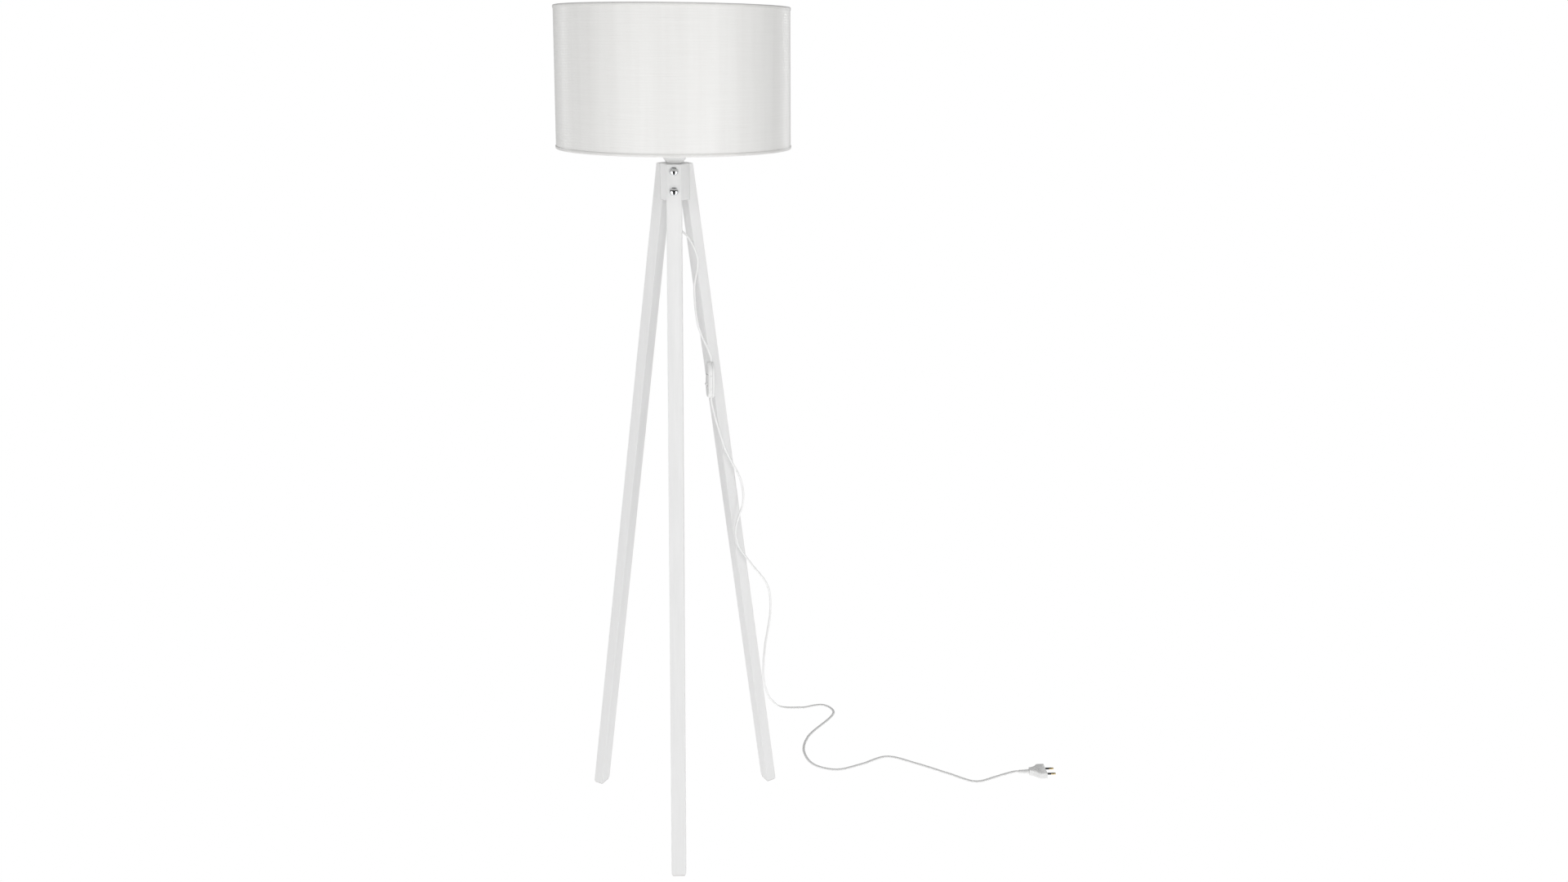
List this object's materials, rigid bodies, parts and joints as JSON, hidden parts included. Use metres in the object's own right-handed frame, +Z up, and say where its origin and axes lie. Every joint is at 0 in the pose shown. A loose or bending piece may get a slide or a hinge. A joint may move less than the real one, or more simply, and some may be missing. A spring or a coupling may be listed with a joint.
{
  "type": "tripod floor lamp",
  "caption": "White wooden tripod floor lamp with a drum fabric shade, a screw lampholder and bulb, and a mains lead with an inline rocker switch and a flat plug.",
  "frame": {"origin": "on the lamp's axis at floor level, under the hub and level with the undersides of the three foot pads", "axes": "+Z up along the axis of the hub and shade; the front leg points to -Y; +X to the right seen from the front"},
  "size_m": [0.9646, 0.5875, 1.52],
  "materials": {
    "white_paint": "satin white paint over wood with a faint grain",
    "wire_paint": "white powder coat on steel wire",
    "white_plastic": "semi-gloss white moulding",
    "shade_textile": "off-white slub fabric laminated to a plastic foil",
    "pad_felt": "pale grey felt",
    "polished_steel": "polished",
    "zinc_plate": "zinc plated",
    "brass_part": "plain brass",
    "steatite": "unglazed ceramic",
    "opal_diffuser": "opal white",
    "lead_sheath": "soft white sheath",
    "core_brown": "brown core insulation",
    "core_blue": "blue core insulation",
    "sleeve_black": "black pin insulation"
  },
  "bodies": {
    "lamp": {"hub_block": "white_paint", "leg_front": "white_paint", "foot_pad_front": "pad_felt", "leg_bolt_front_upper": "polished_steel", "threaded_insert_front_upper": "zinc_plate", "leg_bolt_front_lower": "polished_steel", "threaded_insert_front_lower": "zinc_plate", "leg_right": "white_paint", "foot_pad_right": "pad_felt", "leg_bolt_right_upper": "polished_steel", "threaded_insert_right_upper": "zinc_plate", "leg_bolt_right_lower": "polished_steel", "threaded_insert_right_lower": "zinc_plate", "leg_left": "white_paint", "foot_pad_left": "pad_felt", "leg_bolt_left_upper": "polished_steel", "threaded_insert_left_upper": "zinc_plate", "leg_bolt_left_lower": "polished_steel", "threaded_insert_left_lower": "zinc_plate", "threaded_nipple": "zinc_plate", "nipple_nut_lower": "zinc_plate", "nipple_nut_upper": "zinc_plate", "lampholder_cap": "white_plastic", "lampholder_body": "white_plastic", "shade_ring_nut": "white_plastic", "contact_carrier": "steatite", "screw_shell": "brass_part", "centre_contact": "brass_part", "terminal_screw_live": "brass_part", "terminal_screw_neutral": "brass_part", "bulb_tip": "zinc_plate", "bulb_cap": "zinc_plate", "bulb_collar": "white_plastic", "bulb_globe": "opal_diffuser", "shade_fabric": "shade_textile", "shade_hem_bottom": "shade_textile", "shade_hem_top": "shade_textile", "shade_top_ring": "wire_paint", "shade_carrier": "wire_paint", "cord_gland": "white_plastic", "inner_cord": "lead_sheath", "cord_upper": "lead_sheath", "cord_lower": "lead_sheath", "core_live": "core_brown", "core_neutral": "core_blue", "switch_base": "white_plastic", "switch_cover": "white_plastic", "rocker_pin": "zinc_plate", "switch_screw_1": "zinc_plate", "switch_screw_2": "zinc_plate", "switch_contact_fixed": "brass_part", "switch_contact_spring": "brass_part", "plug_strain_relief": "white_plastic", "plug_body": "white_plastic", "plug_pin_1": "brass_part", "plug_pin_2": "brass_part", "plug_pin_sleeve_1": "sleeve_black", "plug_pin_sleeve_2": "sleeve_black"},
    "rocker": {"switch_rocker": "white_plastic"}
  },
  "joints": [
    {"name": "rocker_tilt", "type": "hinge", "parent": "lamp", "child": "rocker", "pos_m": [0.05556, 0.00481, 0.875], "axis": [0.2588, -0.9659, 0], "range_deg": [0, 16]}
  ]
}
